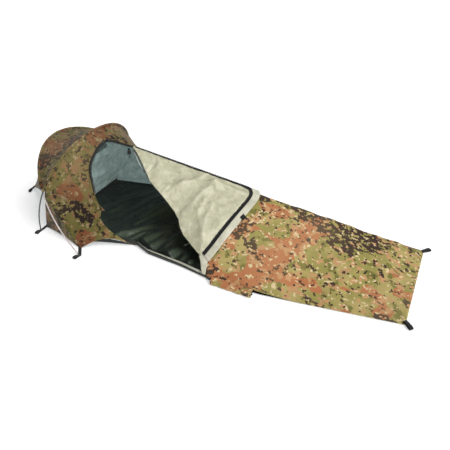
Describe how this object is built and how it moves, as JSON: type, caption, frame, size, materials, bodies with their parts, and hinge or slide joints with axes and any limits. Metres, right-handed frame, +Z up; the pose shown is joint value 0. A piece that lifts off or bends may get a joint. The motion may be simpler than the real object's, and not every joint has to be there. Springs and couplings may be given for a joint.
{
  "type": "bivy sack",
  "caption": "One-person shelter sack on a tub floor, with a low hood on two crossed bows, a folded-back side entrance, zips and peg loops.",
  "frame": {"origin": "on the ground under the middle of the overall box", "axes": "+X from head to foot, +Y from the entrance side to the closed side, +Z up"},
  "size_m": [2.7964, 1.2552, 0.5675],
  "materials": {
    "camo_cloth": "woven cloth printed with a woodland pattern, matt",
    "groundsheet": "coated nylon, semi-gloss",
    "lining": "coated inside face, satin",
    "mesh": "fine net, matt",
    "coated_underside": "coated cloth, satin, creased",
    "zip_tape": "woven tape, matt",
    "zip_coil": "nylon coil",
    "slider": "black enamel",
    "dark_pole": "fibreglass, satin",
    "pale_pole": "fibreglass, satin",
    "ferrule": "brushed",
    "pole_tip": "brushed",
    "shock_cord": "braided elastic",
    "eyelet": "plated",
    "webbing": "woven strap, matt",
    "hook_tape": "hook-and-loop",
    "label": "printed blank, satin"
  },
  "bodies": {
    "shell": {"awning_loop": "webbing", "care_label": "label", "foot_loop_far": "webbing", "foot_loop_near": "webbing", "front_ferrules": "ferrule", "front_pole_1": "dark_pole", "front_pole_2": "dark_pole", "front_pole_3": "dark_pole", "front_pole_4": "dark_pole", "front_shock_cord": "shock_cord", "front_sleeve": "camo_cloth", "front_tip_far": "pole_tip", "front_tip_near": "pole_tip", "head_eyelet_far": "eyelet", "head_eyelet_near": "eyelet", "head_gusset_far": "camo_cloth", "head_gusset_near": "camo_cloth", "head_wall": "lining", "head_webbing_far": "webbing", "head_webbing_near": "webbing", "hood_roof": "camo_cloth", "hood_side_far": "camo_cloth", "hood_side_near": "camo_cloth", "hood_storm_lap": "camo_cloth", "hood_zip_tape": "zip_tape", "rear_ferrules": "ferrule", "rear_pole_1": "pale_pole", "rear_pole_2": "pale_pole", "rear_pole_3": "pale_pole", "rear_pole_4": "pale_pole", "rear_shock_cord": "shock_cord", "rear_sleeve": "camo_cloth", "rear_tip_far": "pole_tip", "rear_tip_near": "pole_tip", "shoulder_eyelet_far": "eyelet", "shoulder_eyelet_near": "eyelet", "shoulder_webbing_far": "webbing", "shoulder_webbing_near": "webbing", "side_storm_flap": "camo_cloth", "side_zip_chain": "zip_coil", "side_zip_lower_tape": "zip_tape", "side_zip_tapes": "zip_tape", "top_cover": "camo_cloth", "top_slider": "slider", "tub_floor": "groundsheet", "vent_awning": "camo_cloth", "vent_mesh": "mesh"},
    "flap": {"entrance_flap": "coated_underside", "flap_zip_tape": "zip_tape", "flap_storm_strip": "coated_underside", "flap_hook_tab": "hook_tape"},
    "side_slider": {"side_slider": "slider"},
    "side_pull": {"side_slider_pull": "slider"},
    "top_pull": {"top_slider_pull": "slider"}
  },
  "joints": [
    {"name": "flap_fold", "type": "hinge", "parent": "shell", "child": "flap", "pos_m": [-0.47, 0.01, 0.49], "axis": [0.7636, -0.4322, -0.4797], "range_deg": [0, 110]},
    {"name": "side_slider_travel", "type": "slide", "parent": "shell", "child": "side_slider", "axis": [0.999, -0.0454, 0], "range_m": [0, 0.24]},
    {"name": "side_pull_swing", "type": "hinge", "parent": "side_slider", "child": "side_pull", "pos_m": [0.3127, -0.47372, 0.02], "axis": [0, 0, 1], "range_deg": [0, 35]},
    {"name": "top_pull_swing", "type": "hinge", "parent": "shell", "child": "top_pull", "pos_m": [-0.499, -0.01, 0.4715], "axis": [0, 1, 0], "range_deg": [-50, 50]}
  ]
}
